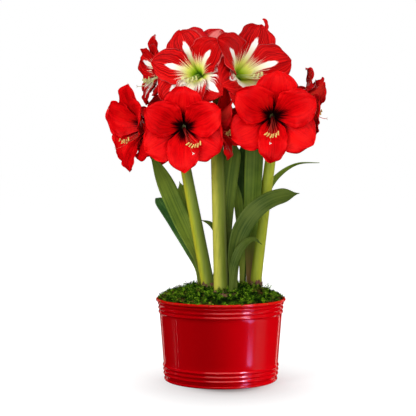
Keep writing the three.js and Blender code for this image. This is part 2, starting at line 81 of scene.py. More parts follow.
BULB_NECK_RADIUS = 25
BULB_HEIGHT = 110
BULB_PROFILE = (  # radius and height
    (POLE, 0), (15.54, 0.5), (28.86, 9), (37, 30), (35.89, 44), (31.45, 58), (BULB_NECK_RADIUS, 72),
    (BULB_NECK_RADIUS - 0.4, 106), (BULB_NECK_RADIUS - 3, 109.5), (POLE, BULB_HEIGHT))
COLLAR_THICKNESS = 0.4
COLLAR_SINK = 1  # how far a collar of dry skin is set into the bulb's flat top

SCAPE_FLATNESS = 0.88
PEDICEL_RADIUS = 4.4
PEDICEL_SINK = 5
OVARY_RADIUS = 6.8

TEPAL_LENGTH = 110
OUTER_TEPAL_WIDTH = 82
INNER_TEPAL_WIDTH = 72
LOWEST_TEPAL_WIDTH = 62
TEPAL_ROUNDNESS = 0.68
TEPAL_THICKNESS = 0.7
TEPAL_TIP_HALF_WIDTH = 6
WIDEST_WRAP = 53
OUTER_TEPAL_OFFSET = 4
TEPAL_ROOT_ANGLE = 16
OUTER_TIP_ANGLE = 104
INNER_TIP_ANGLE = 90
TEPAL_WAVE = 3
EDGE_RUFFLE = 2.2
EDGE_NICK = 0.026  # share of the half width
TEPAL_FOLD = 0.9
TEPAL_CREASE = 0.3
MIDRIB_GROOVE = 0.9
TIP_CURL = 60
ROLLED_TIP_HALF_WIDTH = 4.2
TEPAL_ROOT_HEIGHT = 8
OUTER_ROOT_RADIUS = 5.5
INNER_ROOT_RADIUS = 4
TUBE_LENGTH = 24
TUBE_PROFILE = (  # radius and height
    (POLE, 0), (4.8, 0), (5.4, 1), (6.6, 5), (8.2, 10), (10.4, 16), (12.2, 20))
THROAT_DEPTH = 26

FILAMENT_RADIUS = 0.75
FILAMENT_REACH = 58
STYLE_REACH = 72
ANTHER_LENGTH = 9
ANTHER_RADIUS = 1.5

LEAF_THICKNESS = 1.2
LEAF_CLEARANCE = 4  # how far the moss keeps off a leaf's foot

# name: middle of the top
BULBS = {
    "left": (-33, 0, 184),
    "middle": (9, -60, 181),
    "right": (60, 43, 183),
}

# foot on the bulb, umbel that the blooms spring from, radius at both, how nearly the scape starts
# along its own lean (1 is straight), height of the dry skins round it, and how far moss keeps off
Scape = namedtuple("Scape", "foot umbel radii bow collar clearance")
SCAPES = {
    "left": Scape((-24.5, -6), (-81, -25, 482), (13.4, 9.8), 1, 9, 11),
    "middle": Scape((0, -62), (-10, -5, 548), (14, 12.2), 0.85, 3.5, 3),
    "right": Scape((70, 45), (106, -12, 500), (13, 10), 0.85, 10, 11),
}

# bend: degrees that each tepal flares past its usual tip angle, clockwise from the top one;
# lean: how far the stamens' ends stand to the right of and above the axis; shifts: degrees that
# the tepals stand off their even spacing; lowest: width of the lowest tepal
EVEN = (0,) * 6
Bloom = namedtuple(
    "Bloom", "scape throat azimuth elevation roll size bend lean shifts lowest",
    defaults=(EVEN, (0, -26), EVEN, LOWEST_TEPAL_WIDTH))
BLOOMS = {
    "left_front": Bloom("left", (-72, -92, 500), 0, -8, 0, 1.02, (-6, 0, 0, 0, 0, 0), (20, -30)),
    "left_side": Bloom("left", (-144, -38, 503), -60, -5, 0, 1.06),
    "left_back": Bloom("left", (-104, 40, 500), -152, 0, 0, 0.9),
    "left_inner": Bloom("left", (-26, -56, 512), 70, 0, 0, 0.94, (0, -60, -50, 0, -30, -40), (-6, -24)),
    "right_front": Bloom("right", (99, -76, 522), 1, -6, 4, 1.1, lean=(-5, -34), lowest=50),
    "right_side": Bloom("right", (154, -7, 555), 96, 0, 0, 0.84, (26, 0, 0, 10, 0, 0), (0, -24)),
    "right_back": Bloom("right", (120, 50, 536), 164, 10, 0, 0.9),
    "middle_front": Bloom(
        "middle", (-46, -55, 605), -16, 10, -20, 1, (0, -10, -4, 0, 0, 0), shifts=(0, 8, 30, 20, 6, 0)),
    "middle_right": Bloom(
        "middle", (34, -42, 605), 34, 18, 22, 1.18, (-22, -6, 0, 16, -12, -8),
        shifts=(0, 0, 0, 10, -20, -22)),
    "middle_left": Bloom("middle", (-108, 38, 617), -72, 4, 0, 0.88, lean=(0, -24)),
    "middle_back": Bloom("middle", (-38, 75, 636), 180, 12, 30, 0.98),
}

# the middle line of a petal's rolled tip, in the plant's frame
ROLLED_TIPS = {
    "middle_right": (
        (85, -45, 686), (88, -45, 695), (87.6, -44.5, 705), (84.4, -44.5, 711.5), (80.4, -45, 713)),
}

# shares: of the width at the foot, and of the length where the full width is reached and where the
# tip starts to narrow; faces: the way that the channel opens at the foot and at the tip
Leaf = namedtuple("Leaf", "kind width shares faces midrib")
LEAVES = {
    "left_long": Leaf("green", 38, (0.36, 0.5, 0.6), ((0.3, -1, 0), (0.4, -1, 0.2)), (
        (-32, 9, 184), (-41, 10, 230), (-60, 10, 276), (-84, 11, 328), (-105, 10, 376),
        (-125, 8, 421), (-146, 2, 466))),
    "left_folded": Leaf("bluish", 34, (0.36, 0.6, 0.66), ((0.4, -1, 0), (-0.1, -0.5, 1)), (
        (-41, 16, 184), (-45, 20, 219), (-59, 23, 252), (-82, 26, 297), (-104, 29, 331),
        (-122, 37, 353), (-128, 50, 362), (-130, 64, 352))),
    "left_back": Leaf("sunlit", 28, (0.45, 0.5, 0.86), ((0.2, -1, 0), (0.4, -1, 0.3)), (
        (-30, 20, 184), (-36, 36, 240), (-60, 42, 320), (-84, 44, 396))),
    "left_inner": Leaf("green", 11, (0.5, 0.5, 0.75), ((0, -1, 0), (0.2, -1, 0.2)), (
        (-17, 11, 184), (-7, 15, 240), (-8, 17, 290), (-20, 18, 310), (-42, 20, 319))),
    "middle_upright": Leaf("upright", 38, (0.45, 0.8, 0.88), ((0, -1, 0), (0.2, -1, 0.1)), (
        (17, -44, 181), (11, -33, 240), (8, -21, 311), (13, -9, 387), (22, -4, 451),
        (28, -2, 480))),
    "middle_arching": Leaf("deep", 36, (0.4, 0.5, 0.84), ((0.3, -1, 0.2), (0.1, -1, 0.8)), (
        (24, -64, 181), (25, -66, 250), (39, -72, 302), (66, -78, 341), (99, -84, 363),
        (150, -90, 375))),
    "middle_curled": Leaf("deep", 18, (0.4, 0.6, 0.7), ((0, -1, 0), (0, -0.6, 1)), (
        (18, -78, 181), (24, -84, 236), (42, -90, 274), (62, -94, 286), (78, -96, 277))),
    "right_broad": Leaf("purple_foot", 37, (0.36, 0.5, 0.85), ((-0.9, -0.6, 0), (0, -1, 0)), (
        (57, 23, 183), (61, 13, 286), (64, 4, 358), (66, 0, 419), (68, -4, 500))),
    "right_dark": Leaf("dark", 24, (0.4, 0.5, 0.85), ((0, -1, 0), (0, -1, 0)), (
        (48, 58, 183), (46, 64, 300), (45, 66, 380), (46, 64, 480))),
    "right_short": Leaf("green", 20, (0.5, 0.5, 0.7), ((0.4, -1, 0), (0.3, -1, 0.1)), (
        (43, 40, 183), (43, 36, 280), (36, 32, 350), (30, 30, 405))),
    "right_arching": Leaf("sunlit", 19, (0.55, 0.5, 0.5), ((-0.2, 1, 0.2), (0, 0.4, 1)), (
        (72, 63, 183), (76, 70, 290), (96, 76, 372), (122, 78, 408), (158, 78, 431),
        (205, 78, 434))),
}

# ---- colours

# dark, light and foot of each kind of leaf, and how far up the foot's colour fades
LEAF_COLORS = {
    "green": ((0.055, 0.1, 0.01), (0.15, 0.21, 0.022), (0.15, 0.17, 0.025), 0.4),
    "bluish": ((0.025, 0.08, 0.018), (0.08, 0.17, 0.035), (0.2, 0.24, 0.035), 0.4),
    "purple_foot": ((0.045, 0.09, 0.008), (0.12, 0.18, 0.02), (0.15, 0.08, 0.03), 0.4),
    "deep": ((0.018, 0.042, 0.004), (0.075, 0.105, 0.016), (0.06, 0.085, 0.01), 0.4),
    # painted shade: a green painted darker for a leaf that stands in shade
    "dark": ((0.01, 0.032, 0.002), (0.04, 0.085, 0.008), (0.03, 0.06, 0.005), 0.4),
    # painted shade: the near-black foot, fading far up the leaf, is painted shade
    "upright": ((0.05, 0.09, 0.008), (0.15, 0.205, 0.022), (0.014, 0.028, 0.002), 0.85),
    # painted light: a green painted lighter for leaves that face the light
    "sunlit": ((0.09, 0.16, 0.012), (0.22, 0.3, 0.035), (0.2, 0.2, 0.03), 0.4),
}
# stops of each scape's colour, from its left side to its right: painted light and shade, lighter on the side
# that faced the light and darker on the other
SCAPE_SHADING_STOPS = {
    "left": (
        (0.15, (0.42, 0.4, 0.025)), (0.33, (0.26, 0.3, 0.02)),
        (0.5, (0.15, 0.19, 0.018)), (0.72, (0.1, 0.14, 0.014))),
    "middle": (
        (0.2, (0.42, 0.4, 0.05)), (0.36, (0.3, 0.3, 0.03)),
        (0.52, (0.155, 0.185, 0.015)), (0.68, (0.105, 0.135, 0.011))),
    "right": ((0.2, (0.22, 0.27, 0.02)), (0.55, (0.33, 0.38, 0.03)), (0.8, (0.4, 0.43, 0.035))),
}

# edge, middle and midrib
PETAL_BACKS = {
    "petal_red_back": ((0.5, 0.004, 0.006), (0.62, 0.02, 0.014), (0.3, 0.12, 0.02)),
    "petal_striped_back": ((0.62, 0.006, 0.01), (0.86, 0.22, 0.2), (0.8, 0.5, 0.4)),
}

# foot and tip
THREADS = {
    "tube_red": ((0.2, 0.22, 0.03), (0.4, 0.02, 0.01)),
    "tube_pale": ((0.25, 0.32, 0.05), (0.6, 0.45, 0.3)),
    "filament_red": ((0.1, 0, 0.002), (0.72, 0.05, 0.03)),
    "filament_pale": ((0.3, 0.5, 0.06), (0.72, 0.74, 0.4)),
    "stigma_white": ((0.8, 0.68, 0.6), (0.86, 0.8, 0.74)),
}

# roughness, shine, fineness and detail of the grains, dark, light, and how far the grains stand out
GRAINS = {
    "potting_mix_crumb": (0.95, 0.2, 240, 6, (0.008, 0.005, 0.003), (0.06, 0.035, 0.018), 0.002),
    "moss_mound_felt": (0.95, 0, 300, 3, (0.002, 0.006, 0.0005), (0.02, 0.045, 0.003), 0.002),
    "anther_pollen": (0.9, 0.15, 1500, 2, (0.62, 0.34, 0.05), (0.86, 0.68, 0.24), 0.0006),
    "anther_pollen_pale": (0.9, 0.15, 1500, 2, (0.5, 0.55, 0.14), (0.8, 0.78, 0.4), 0.0006),
}

PETAL_FINISH = {"Roughness": 0.45, "IOR": 1.25, "Specular IOR Level": 0.12}
THROAT_REACH = 0.27  # share of a petal's length
# shares that the star and the midrib stripe reach
STAR_REACHES = {"petal_striped_front": (0.39, 0.68), "petal_striped_low": (0.56, 0.84)}

# ---- studio, in metres

# distance from the pot's middle and glow of the floor; the low glow near the pot is a painted shadow
PAINTED_SHADOW_GLOW = (
    (0.04, 0), (0.062, 0.06), (0.085, 0.38), (0.11, 0.53), (0.15, 0.64),
    (0.184, 0.72), (0.22, 0.79), (0.3, 0.86), (0.5, 0.95), (0.8, 1),
)
FLOOR_REACH = 40
CAMERA_PLACE = (-0.0256, -2.2, 0.425)
CAMERA_DIP = 2.13
CAMERA_LENS = 95.2
POT_MIDDLE = (0, 0, 0.08)
PLANT_MIDDLE = (0, 0, 0.5)

# place, target, width and height, and level of the softboxes that light the plant
PLANT_LIGHTS = {
    "key_left": ((-1.8, -1.8, 1.3), PLANT_MIDDLE, (1.1, 1.1), 0.62),
    "fill_front": ((0, -3.2, 0.7), PLANT_MIDDLE, (2.6, 2.2), 0.5),
    "fill_right": ((1.8, -1.9, 1.1), PLANT_MIDDLE, (1.2, 1.6), 0.34),
    "fill_low": ((-0.5, -2.4, -0.1), (0, 0, 0.3), (1.6, 0.8), 0.3),
    "sky_soft": ((0, 0.2, 2.9), PLANT_MIDDLE, (2.4, 2.4), 0.22),
    "fill_side": ((2.4, 0.2, 0.8), PLANT_MIDDLE, (1.4, 1.6), 0.3),
    "fill_back": ((0.6, 2.6, 1.2), PLANT_MIDDLE, (2.4, 2), 0.4),
}

# place, width and height, and level of the pot's softboxes: those with a colour are mirrored in its
# gloss and do nothing else, and the others aren't mirrored
POT_LIGHTS = {
    "tub_right": ((1.7, -0.35, 0), (0.8, 1.6), 0.75),
    "tub_left": ((-1.7, 0.3, 0.3), (0.6, 1.2), 0.42),
    "tub_front": ((0.3, -3, 1.2), (2, 1.6), 0.36),
    "tub_top": ((0, -0.7, 2.4), (2, 1.2), 0.6),
    "tub_strip": ((1.35, -0.87, -1.02), (0.32, 1.2), 0.44, (0.5, 0.38, 1)),
    "tub_rib_glints": ((1.3, -0.95, 1.5), (0.3, 0.5), 0.6, (0.9, 0.7, 1)),
    "tub_edge_left": ((-0.9, 1.6, 0), (0.12, 2), 0.09, (1, 0.6, 0.55)),
    "tub_edge_right": ((1.1, 1.5, 0), (0.12, 2), 0.1, (1, 0.65, 0.6)),
    "tub_seam": ((-1.5, 0.12, -0.33), (0.06, 0.2), 0.02, (1, 0.7, 0.7)),
    "tub_ribs": ((0.2, -1.3, 1.6), (2.4, 0.5), 0.5, (1, 0.75, 0.7)),
}


# ---- helpers

def new_object(name, data):
    made = bpy.data.objects.new(name, data)
    bpy.context.scene.collection.objects.link(made)
    return made


def lerp(low, high, share):
    return low + (high - low) * share


def smoothstep(value, low, high):
    share = np.clip((value - low) / (high - low), 0, 1)
    return share * share * (3 - 2 * share)


def unit(vectors):
    return vectors / np.maximum(np.linalg.norm(vectors, axis=-1, keepdims=True), 1e-9)


def summed(steps):
    return np.concatenate([[0], np.cumsum(steps)])


def full_turn(count):
    """Evenly spaced turns round a circle, in radians."""
    return np.linspace(0, tau, count, endpoint=False)


def turned(radius, height, turns, centre=(0, 0)):
    """Rings of points about an upright axis, from radii (rings, turns) and their heights."""
    height = np.broadcast_to(height, radius.shape)
    return np.dstack([centre[0] + radius * np.cos(turns), centre[1] + radius * np.sin(turns), height])


def net(rows, columns):
    """Shares along a strip from its foot, and across it from edge (-1) to edge (1)."""
    return np.linspace(0, 1, rows)[:, None], np.linspace(-1, 1, columns)[None, :]


def profile_rings(knots, count):
    """Columns of radii and heights, spaced evenly over the knots of a profile."""
    share = np.linspace(0, len(knots) - 1, count)
    return [np.interp(share, range(len(knots)), values)[:, None] for values in np.transpose(knots)]


class Shape:
    """Points in millimetres, and faces: corners, their UVs and a material number."""

    def __init__(self):
        self.points = []
        self.faces = []

    def grid(self, points, mark=0, wrap=False, flip=False):
        """Adds a grid of points (rows, columns, 3). With wrap, the last column joins the first."""
        rows, columns = points.shape[:2]
        spans = columns if wrap else columns - 1
        start = len(self.points)
        self.points.extend(points.reshape(-1, 3))
        for row in range(rows - 1):
            for column in range(spans):
                corners = [(row, column), (row, column + 1), (row + 1, column + 1), (row + 1, column)]
                if flip:
                    corners.reverse()
                indices = [start + r * columns + c % columns for r, c in corners]
                self.face(indices, [(c / spans, r / (rows - 1)) for r, c in corners], mark)
        return start

    def face(self, indices, uvs, mark=0):
        self.faces.append((indices, uvs, mark))

    def blade(self, middle, thickness, upper_mark=0, lower_mark=0):
        """A thin closed blade about a grid of points, thinner at its edges."""
        rows, columns = middle.shape[:2]
        along, across = np.gradient(middle, axis=0), np.gradient(middle, axis=1)
        normal = unit(np.cross(across, along))
        rim = np.sin(np.linspace(0, pi, columns)) ** 0.5
        half = 0.5 * thickness * (0.35 + 0.65 * rim)[None, :, None]
        upper = self.grid(middle + normal * half, upper_mark)
        lower = self.grid(middle - normal * half, lower_mark, flip=True)
        numbers = np.arange(rows * columns).reshape(rows, columns)
        sides = (numbers[0], numbers[1:, -1], numbers[-1, -2::-1], numbers[-2:0:-1, 0])
        border = np.concatenate(sides).tolist()
        for pair in zip(border[1:] + border[:1], border):
            after, before = ((i % columns / (columns - 1), i // columns / (rows - 1)) for i in pair)
            corners = [upper + pair[0], upper + pair[1], lower + pair[1], lower + pair[0]]
            self.face(corners, [after, before, before, after], upper_mark)

    def build(self, name, materials, replaces, place=None):
        faces, uvs, marks = zip(*self.faces)
        mesh = bpy.data.meshes.new(name)
        mesh.from_pydata((np.array(self.points) * MM).tolist(), [], faces)
        layer = mesh.uv_layers.new(name="UVMap")
        layer.data.foreach_set("uv", np.array([uv for corners in uvs for uv in corners]).ravel())
        for material in materials:
            mesh.materials.append(material)
        mesh.polygons.foreach_set("material_index", marks)
        mesh.shade_smooth()
        if place is not None:
            mesh.transform(place)
        mesh.update()
        piece = new_object(name, mesh)
        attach(piece, "root")
        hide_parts(*replaces)
        return piece


def bezier(points, count):
    """Points and unit tangents along a cubic curve."""
    p0, p1, p2, p3 = (np.array(point, float) for point in points)
    t = np.linspace(0, 1, count)[:, None]
    place = (1 - t) ** 3 * p0 + 3 * (1 - t) ** 2 * t * p1 + 3 * (1 - t) * t * t * p2 + t ** 3 * p3
    return place, unit(np.gradient(place, axis=0))


def between(first, second, start, end, now):
    return (end - now) / (end - start) * first + (now - start) / (end - start) * second


def catmull(points, count):
    """Centripetal Catmull-Rom curve through the points, evenly spaced, with unit tangents."""
    controls = np.array(points, float)
    controls = np.vstack([2 * controls[0] - controls[1], controls, 2 * controls[-1] - controls[-2]])
    dense = []
    for knots in zip(controls, controls[1:], controls[2:], controls[3:]):
        times = summed(np.linalg.norm(np.diff(knots, axis=0), axis=1) ** 0.5)
        now = np.linspace(times[1], times[2], 24, endpoint=False)[:, None]
        first = [between(knots[i], knots[i + 1], times[i], times[i + 1], now) for i in range(3)]
        second = [between(first[i], first[i + 1], times[i], times[i + 2], now) for i in range(2)]
        dense.append(between(*second, times[1], times[2], now))
    dense = np.vstack([*dense, controls[-2]])
    length = summed(np.linalg.norm(np.diff(dense, axis=0), axis=1))
    wanted = np.linspace(0, length[-1], count)
    place = np.stack([np.interp(wanted, length, dense[:, axis]) for axis in range(3)], axis=1)
    return place, unit(np.gradient(place, axis=0))


def swept(place, side, sideways, normal, rise):
    """A grid of points set off from a curve, sideways and along its normal."""
    return place[:, None] + side[:, None] * sideways[..., None] + normal[:, None] * rise[..., None]


def add_tube(shape, curve, radii, sides, mark=0, flatness=1, lobes=0, lobe_depth=0):
    """A tube of rings carried along a curve without twist; its ends close on a point."""
    place, tangent = (np.vstack([rows[0], rows, rows[-1]]) for rows in curve)
    radii = np.concatenate([[POLE], radii, [POLE]])
    reference = (0, 1, 0) if abs(tangent[0][1]) < 0.9 else (1, 0, 0)
    turns = full_turn(sides)
    rings = []
    for centre, direction, radius in zip(place, tangent, radii):
        first = unit(np.cross(direction, reference))
        reference = np.cross(first, direction)
        swell = radius * (1 + lobe_depth * np.cos(lobes * turns))
        rings.append(centre + np.outer(swell * np.cos(turns), first)
                     + np.outer(flatness * swell * np.sin(turns), reference))
    shape.grid(np.array(rings), mark, wrap=True)


# ---- materials

class Graph:
    """A procedural material on one Principled shader. Colours are (red, green, blue)."""

    def __init__(self, name, finish):
        self.material = bpy.data.materials.new(name)
        self.material.use_nodes = True
        self.tree = self.material.node_tree
        self.shader = self.tree.nodes["Principled BSDF"]
        for socket, value in finish.items():
            self.feed(self.shader.inputs[socket], value)
        coordinates = self.node("TexCoord").outputs
        self.place, self.normal, self.uv = (coordinates[key] for key in ("Object", "Normal", "UV"))
        self.across, self.along = self.axes(self.uv)[:2]

    def node(self, kind, *values, **settings):
        """A new node with these settings, whose first sockets take the values."""
        node = self.tree.nodes.new(f"ShaderNode{kind}")
        for key, setting in settings.items():
            setattr(node, key, setting)
        for socket, value in zip(node.inputs, values):
            self.feed(socket, value)
        return node

    def feed(self, socket, value):
        if isinstance(value, bpy.types.NodeSocket):
            self.tree.links.new(value, socket)
        elif socket.type == "RGBA":
            socket.default_value = (*value, 1)
        else:
            socket.default_value = value

    def math(self, operation, *values):
        return self.node("Math", *values, operation=operation).outputs[0]

    def scale_add(self, value, factor, addend):
        return self.math("MULTIPLY_ADD", value, factor, addend)

    def smooth(self, value, low, high, bottom=0, top=1):
        node = self.node("MapRange", value, low, high, bottom, top, interpolation_type="SMOOTHSTEP")
        return node.outputs[0]

    def axes(self, vector):
        return self.node("SeparateXYZ", vector).outputs

    def scaled(self, vector, scale):
        return self.node("VectorMath", vector, scale, operation="MULTIPLY").outputs[0]

    def shifted(self, vector, shift):
        return self.node("VectorMath", vector, shift, operation="ADD").outputs[0]

    def noise(self, scale, detail=2, vector=None):
        node = self.node("TexNoise", self.place if vector is None else vector)
        self.feed(node.inputs["Scale"], scale)
        self.feed(node.inputs["Detail"], detail)
        return node.outputs[0]

    def mix(self, factor, first, second):
        node = self.node("Mix", factor, data_type="RGBA")
        self.feed(node.inputs[6], first)
        self.feed(node.inputs[7], second)
        return node.outputs[2]

    def ramp(self, factor, *stops):
        node = self.node("ValToRGB", factor)
        elements = node.color_ramp.elements
        for _ in stops[2:]:
            elements.new(0.5)
        for element, (position, color) in zip(elements, stops):
            element.position, element.color = position, (*color, 1)
        return node.outputs[0]

    def off_axis(self):
        """0 on the midrib, 1 on the edges."""
        return self.math("ABSOLUTE", self.scale_add(self.across, 2, -1))

    def finish(self, color, relief=None, depth=0, strength=1):
        """The material in this colour, with its relief as a bump."""
        self.feed(self.shader.inputs["Base Color"], color)
        if relief is not None:
            node = self.node("Bump")
            for socket, value in (("Strength", strength), ("Distance", depth), ("Height", relief)):
                self.feed(node.inputs[socket], value)
            self.feed(self.shader.inputs["Normal"], node.outputs[0])
        return self.material


def veins(graph, density, stretch):
    """Noise drawn out along the UV's length, different on every piece."""
    vector = graph.scaled(graph.uv, (density, stretch, 1))
    return graph.noise(1, 3, graph.shifted(vector, graph.scaled(graph.place, (9, 9, 9))))


def red_petal_material():
    """Velvety red; the near-black throat runs out along the veins and farthest up the midrib."""
    graph = Graph("petal_red_front", PETAL_FINISH)
    streaks = veins(graph, 34, 1.6)
    broad = graph.noise(26)
    body = graph.ramp(
        graph.scale_add(broad, 0.55, graph.math("MULTIPLY", streaks, 0.45)),
        (0.34, (0.42, 0.0005, 0.0015)), (0.5, (0.66, 0.0012, 0.003)), (0.64, (0.76, 0.006, 0.005)))
    centred = graph.math("POWER", graph.math("SUBTRACT", 1, graph.off_axis()), 2.5)
    reach = graph.scale_add(streaks, 0.5, graph.scale_add(centred, 0.1, THROAT_REACH - 0.25))
    lit = graph.smooth(graph.math("SUBTRACT", graph.along, reach), -0.1, 0.08)
    return graph.finish(graph.mix(lit, (0.012, 0, 0.001), body), streaks, 0.0005, 0.4)


def striped_petal_material(name):
    """Veined crimson with a rayed star and a blunt midrib stripe, green to white from the throat out."""
    star_reach, stripe_reach = STAR_REACHES[name]
    graph = Graph(name, PETAL_FINISH)
    streaks = veins(graph, 68, 1.5)
    off = graph.off_axis()
    crimson = graph.ramp(
        streaks, (0.36, (0.16, 0.0004, 0.001)), (0.48, (0.47, 0.001, 0.002)), (0.61, (0.74, 0.008, 0.007)))
    wander = graph.math("SUBTRACT", streaks, 0.5)
    star_edge = graph.math("ADD", graph.scale_add(off, -0.12, star_reach), wander)
    star = graph.smooth(graph.math("SUBTRACT", star_edge, graph.along), -0.035, 0.035)
    stripe_half = graph.smooth(graph.along, 0.75 * stripe_reach, stripe_reach, 0.15, 0.04)
    beside = graph.scale_add(wander, 0.12, off)
    stripe = graph.smooth(graph.math("SUBTRACT", stripe_half, beside), -0.02, 0.02)
    blunt = graph.smooth(graph.along, stripe_reach - 0.06, stripe_reach, 1, 0)
    white = graph.math("MAXIMUM", star, graph.math("MULTIPLY", stripe, blunt))
    pale = graph.ramp(
        graph.along, (0.06, (0.07, 0.22, 0.008)), (0.14, (0.4, 0.6, 0.02)), (0.24, (0.78, 0.8, 0.16)),
        (0.4, (0.9, 0.86, 0.62)), (0.56, (0.94, 0.92, 0.88)))
    # painted highlight: a thin paler pink line along the petal's edges
    painted_rim_highlight = graph.smooth(off, 0.95, 0.99, 0, 0.3)
    body = graph.mix(painted_rim_highlight, crimson, (0.8, 0.18, 0.18))
    return graph.finish(graph.mix(white, body, pale), streaks, 0.0009, 0.5)


def petal_back_material(name):
    edge, middle, rib = PETAL_BACKS[name]
    graph = Graph(name, PETAL_FINISH)
    streaks = veins(graph, 30, 1.5)
    off = graph.off_axis()
    blush = graph.math("ADD", off, graph.math("SUBTRACT", streaks, 0.5))
    body = graph.mix(graph.smooth(blush, 0.2, 0.75), middle, edge)
    near_rib = graph.smooth(off, 0, 0.12, 1, 0)
    keel = graph.math("MULTIPLY", near_rib, graph.smooth(graph.along, 0.2, 0.5, 1, 0))
    return graph.finish(graph.mix(keel, body, rib), streaks, 0.0009, 0.6)


def leaf_material(name, dark, light, foot, foot_reach):
    graph = Graph(name, {"Roughness": 0.45, "IOR": 1.3, "Specular IOR Level": 0.15})
    lines = graph.noise(1, 3, graph.scaled(graph.uv, (34, 1, 1)))
    patches = graph.noise(16, 3)
    tone = graph.scale_add(lines, 0.6, graph.math("MULTIPLY", patches, 0.5))
    body = graph.mix(graph.smooth(tone, 0.42, 0.68), dark, light)
    midrib = graph.smooth(graph.off_axis(), 0.02, 0.16, 0.5, 0)
    body = graph.mix(midrib, body, light)
    color = graph.mix(graph.smooth(graph.along, 0, foot_reach, 1, 0), body, foot)
    return graph.finish(color, lines, 0.0008, 0.5)


def scape_material(name, stops):
    """Waxy skin, painted lighter and yellower on its lit side and darker on its shaded side: the stops run
    round from -X to +X.
    """
    graph = Graph(name, {"Roughness": 0.45, "IOR": 1.3, "Specular IOR Level": 0.3})
    fibres = graph.noise(1, 3, graph.scaled(graph.place, (260, 260, 7)))
    patches = graph.noise(11, 3)
    # painted light and shade: the colour follows how far the skin faces -X or +X
    side = graph.scale_add(graph.axes(graph.normal)[0], 0.5, 0.3)
    side = graph.scale_add(fibres, 0.16, graph.scale_add(patches, 0.24, side))
    body = graph.ramp(side, *stops)
    color = graph.mix(graph.smooth(fibres, 0.45, 0.8, 0, 0.35), body, (0.1, 0.15, 0.012))
    return graph.finish(color, fibres, 0.0004, 0.5)


def pot_material():
    graph = Graph("pot_paint", {"Specular IOR Level": 0, "Coat Weight": 0.6, "Coat Roughness": 0.15})
    body = graph.mix(graph.noise(12), (0.7, 0, 0.003), (0.78, 0.0005, 0.005))
    # painted highlight: the rim bead is painted a brighter orange-red than the wall
    rim = graph.smooth(graph.axes(graph.place)[2], 0.1585, 0.1605)
    roughness = graph.smooth(graph.noise(8, 1), 0.3, 0.7, 0.3, 0.38)
    graph.feed(graph.shader.inputs["Roughness"], roughness)
    return graph.finish(graph.mix(rim, body, (0.8, 0.008, 0.005)), graph.noise(9, 1), 0.001, 0.15)


def grain_material(name):
    """Fine grains between a dark and a light colour."""
    roughness, shine, fineness, detail, dark, light, depth = GRAINS[name]
    graph = Graph(name, {"Roughness": roughness, "Specular IOR Level": shine})
    grains = graph.noise(fineness, detail)
    return graph.finish(graph.mix(grains, dark, light), grains, depth)


def moss_sprig_material():
    """Clumps of bright, deep and near-black green with brown flecks; roots are painted near-black as painted
    shade, so tips are lighter.
    """
    graph = Graph("moss_sprig_green", {"Roughness": 0.85, "Specular IOR Level": 0.04})
    clumps = graph.noise(130)
    flecks = graph.noise(420)
    level = graph.scale_add(graph.across, 0.22, graph.scale_add(flecks, 0.5, clumps))
    tone = graph.ramp(
        graph.math("ADD", level, -0.44), (0.28, (0.003, 0.009, 0.001)), (0.38, (0.016, 0.05, 0.002)),
        (0.5, (0.07, 0.19, 0.005)), (0.64, (0.32, 0.54, 0.025)))
    tone = graph.mix(graph.smooth(graph.across, 0.9, 0.93), tone, (0.12, 0.07, 0.018))
    # painted shade: each sprig darkens to near-black towards its root
    return graph.finish(graph.mix(graph.smooth(graph.along, 0.2, 0.85), (0.001, 0.004, 0.0005), tone))


def tunic_material():
    graph = Graph("bulb_tunic_paper", {"Roughness": 0.7, "Specular IOR Level": 0.25})
    fibres = graph.noise(1, 4, graph.scaled(graph.place, (150, 150, 20)))
    color = graph.ramp(
        fibres, (0.3, (0.08, 0.025, 0.018)), (0.55, (0.2, 0.085, 0.05)), (0.75, (0.36, 0.2, 0.11)))
    return graph.finish(color, fibres, 0.0012, 0.8)


def thread_material(name):
    foot, tip = THREADS[name]
    graph = Graph(name, {"Roughness": 0.45})
    tone = graph.noise(200)
    body = graph.mix(graph.smooth(graph.along, 0.1, 0.85), foot, tip)
    return graph.finish(graph.mix(graph.smooth(tone, 0.4, 0.7, 0, 0.25), body, foot))


# ---- pot and bulbs

def wall_radius(height):
    return lerp(POT_BASE_RADIUS, POT_TOP_RADIUS, height / POT_HEIGHT)


def band_profile(band):
    """Radius and height of the wall where ribs are rolled into it."""
    heights = np.linspace(band, band + RIBS_PER_BAND * RIB_PITCH, 12 * RIBS_PER_BAND + 1)
    swell = 0.5 - 0.5 * np.cos(tau * (heights - band) / RIB_PITCH)
    return [(wall_radius(z) + RIB_DEPTH * s, z) for z, s in zip(heights, swell)]


def bead(radius, height, size, start, end, count):
    """Part of a rolled bead's round section; start and end are in half turns."""
    turns = pi * np.linspace(start, end, count)
    return [(radius + size * cos(turn), height + size * sin(turn)) for turn in turns]


def pot_profile():
    """Radius and height round the tub's section, from the middle of its underside to its inner floor."""
    rim_height = POT_HEIGHT - RIM_BEAD_RADIUS
    profile = [(POLE, 0), (60, 0), (POT_BASE_RADIUS - 2, 0)]
    profile += bead(POT_BASE_RADIUS - 0.8, 2.6, FOOT_BEAD_RADIUS, -0.5, 0.5, 9)
    profile.append((wall_radius(6), 6))
    profile += band_profile(LOWER_BAND)
    profile += [(wall_radius(z), z) for z in np.linspace(45, 125, 6)]
    profile += band_profile(UPPER_BAND)
    profile += bead(POT_TOP_RADIUS + 0.55 * RIM_BEAD_RADIUS, rim_height, RIM_BEAD_RADIUS, -0.7, 0.85, 18)
    profile += [(wall_radius(z) - POT_WALL, z) for z in np.linspace(rim_height - 1, 2, 6)]
    return np.array(profile + [(POLE, POT_WALL)])


